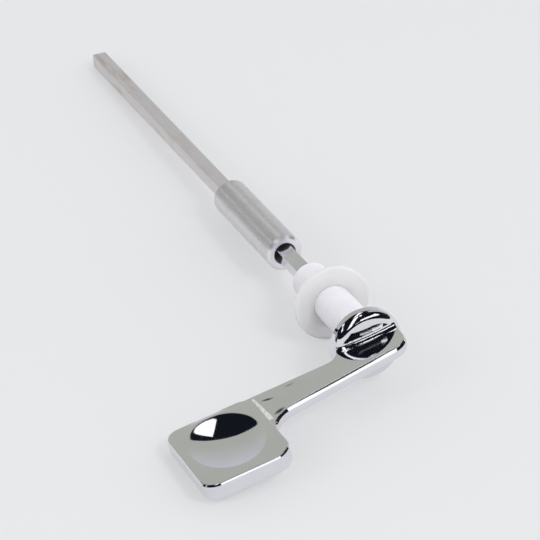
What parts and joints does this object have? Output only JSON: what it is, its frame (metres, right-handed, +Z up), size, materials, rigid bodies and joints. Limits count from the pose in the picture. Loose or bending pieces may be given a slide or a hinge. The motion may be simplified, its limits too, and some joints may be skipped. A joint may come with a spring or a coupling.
{
  "type": "cistern lever",
  "caption": "Chromed toilet cistern lever: dished paddle and arm on a spindle in a threaded nylon bush with a flanged back nut, joined by a sleeve to a long square rod.",
  "frame": {"origin": "On the spindle's axis, in the plane where the bush's flange bears on the outer face of the cistern panel.", "axes": "+Y along the spindle into the cistern, -X along the lever's arm to its paddle, +Z up out of the paddle's dished face."},
  "size_m": [0.1101, 0.3665, 0.0326],
  "materials": {
    "chrome_plate": "polished chrome plate",
    "white_nylon": "smooth white moulding with a fine thread",
    "milky_nylon": "milky, slightly translucent moulding",
    "spring_steel": "plain spring steel",
    "turned_aluminium": "satin, turned",
    "black_steel": "black oxide",
    "drawn_rod": "drawn satin with faint lengthwise lines and light brown stains"
  },
  "bodies": {
    "bush": {"threaded_bush": "white_nylon"},
    "lever": {"lever_handle": "chrome_plate", "retaining_clip": "spring_steel", "coupling_sleeve": "turned_aluminium", "grub_screw": "black_steel", "extension_rod": "drawn_rod"},
    "nut": {"back_nut": "milky_nylon"}
  },
  "joints": [
    {"name": "lever_turn", "type": "hinge", "parent": "bush", "child": "lever", "pos_m": [0, 0, 0], "axis": [0, -1, 0], "range_deg": [-15, 50]},
    {"name": "nut_travel", "type": "slide", "parent": "bush", "child": "nut", "axis": [0, 1, 0], "range_m": [-0.028, 0.014]}
  ]
}
